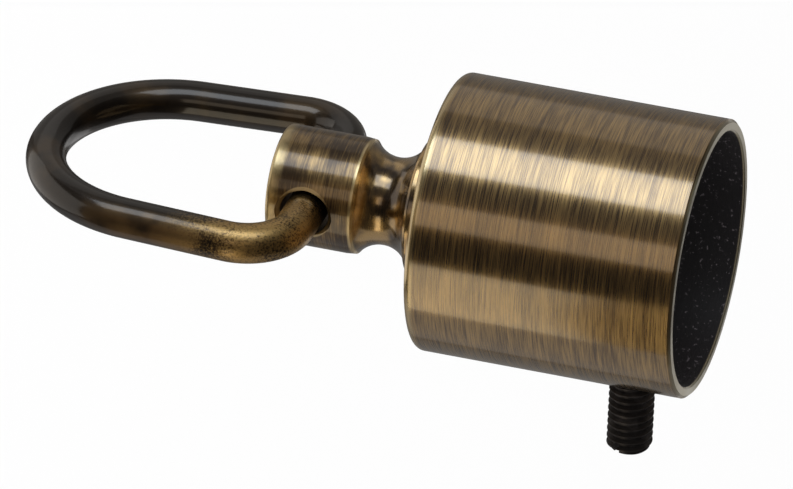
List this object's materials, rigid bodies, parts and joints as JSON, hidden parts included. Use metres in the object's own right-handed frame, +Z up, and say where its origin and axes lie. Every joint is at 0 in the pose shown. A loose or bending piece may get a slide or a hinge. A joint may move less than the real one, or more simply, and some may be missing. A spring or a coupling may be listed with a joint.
{
  "type": "rope end fitting",
  "caption": "Rope end cup with a cross-drilled eye, a D-shaped swing ring and a side grub screw that clamps the rope.",
  "frame": {"origin": "centre of the cup's mouth, on the rope's axis", "axes": "+Z up, along the rope's axis and out of the cup's mouth; the ring hangs towards -Z and swings about Y; the grub screw points to +X"},
  "size_m": [0.0473, 0.0398, 0.0902],
  "materials": {
    "brushed_brass": "brushed",
    "turned_brass": "polished",
    "spring_steel": "satin",
    "plated_steel": "satin",
    "dark_bronze": "polished",
    "black_steel": "black oxide"
  },
  "bodies": {
    "cup": {"rope_cup": "brushed_brass", "eye_stud": "turned_brass", "lock_washer": "spring_steel", "lock_nut": "plated_steel"},
    "ring": {"swing_ring": "dark_bronze"},
    "screw": {"grub_screw": "black_steel"}
  },
  "joints": [
    {"name": "ring_swing", "type": "hinge", "parent": "cup", "child": "ring", "pos_m": [0, 0, -0.05165], "axis": [0, 1, 0], "range_deg": [-142, 142]},
    {"name": "grub_screw_travel", "type": "slide", "parent": "cup", "child": "screw", "axis": [-1, 0, 0], "range_m": [-0.003, 0.011]}
  ]
}
